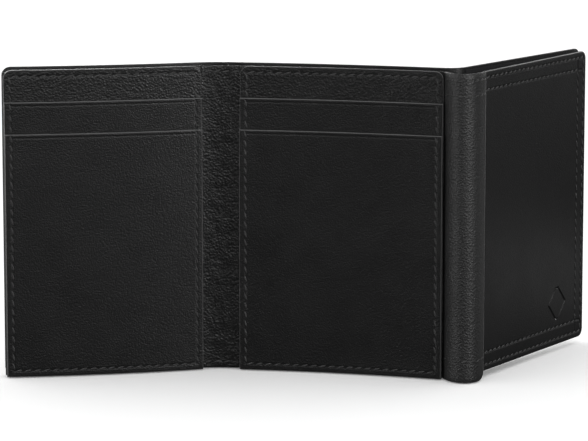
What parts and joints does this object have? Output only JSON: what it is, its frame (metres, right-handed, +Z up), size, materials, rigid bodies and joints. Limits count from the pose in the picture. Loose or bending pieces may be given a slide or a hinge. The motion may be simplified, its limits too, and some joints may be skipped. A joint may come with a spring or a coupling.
{
  "type": "trifold wallet",
  "caption": "Black leather trifold wallet standing half open on its long edge, with stepped card slots, a stitched cover, a soft spine and a bill compartment open at the top.",
  "frame": {"origin": "middle of the bottom edge of the middle panel's shell, where the wallet stands", "axes": "X runs along the middle panel from the left wing to the right wing, Y points away from the card pockets, Z is up"},
  "size_m": [0.1855, 0.1149, 0.108],
  "materials": {
    "shell_leather": "satin",
    "pocket_leather": "satin",
    "fold_leather": "matte",
    "cover_leather": "satin",
    "lining_cloth": "matte",
    "stiffener_board": "matte",
    "thread": "matte"
  },
  "bodies": {
    "middle_panel": {"middle_shell": "shell_leather", "middle_shell_lining": "lining_cloth", "middle_turned_edge": "shell_leather", "middle_bill_lining": "lining_cloth", "middle_backer": "fold_leather", "middle_pocket_back": "pocket_leather", "middle_upper_slot": "pocket_leather", "middle_upper_tongue": "lining_cloth", "middle_slot_margins": "pocket_leather", "middle_front_pocket": "pocket_leather", "middle_seam_thread": "thread", "left_fold_lining": "fold_leather", "left_fold_shell": "shell_leather", "spine_leather": "cover_leather", "spine_shell": "shell_leather"},
    "left_wing": {"left_shell": "shell_leather", "left_shell_lining": "lining_cloth", "left_turned_edge": "shell_leather", "left_bill_lining": "lining_cloth", "left_backer": "fold_leather", "left_pocket_back": "pocket_leather", "left_upper_slot": "pocket_leather", "left_upper_tongue": "lining_cloth", "left_slot_margins": "pocket_leather", "left_front_pocket": "pocket_leather", "left_seam_thread": "thread"},
    "right_wing": {"cover": "cover_leather", "cover_stiffener": "stiffener_board", "cover_lining": "lining_cloth", "right_shell_lining": "lining_cloth", "right_shell": "shell_leather", "bill_gusset": "fold_leather", "cover_outer_thread": "thread", "cover_inner_thread": "thread"}
  },
  "joints": [
    {"name": "left_fold", "type": "hinge", "parent": "middle_panel", "child": "left_wing", "pos_m": [-0.0424, -0.0068, 0], "axis": [0, 0, 1], "range_deg": [-26, 154], "deforming": ["left_fold_lining", "left_fold_shell"]},
    {"name": "right_fold", "type": "hinge", "parent": "middle_panel", "child": "right_wing", "pos_m": [0.0395, 0.00085, 0], "axis": [0, 0, 1], "range_deg": [-73, 107], "deforming": ["spine_leather", "spine_shell"]}
  ]
}
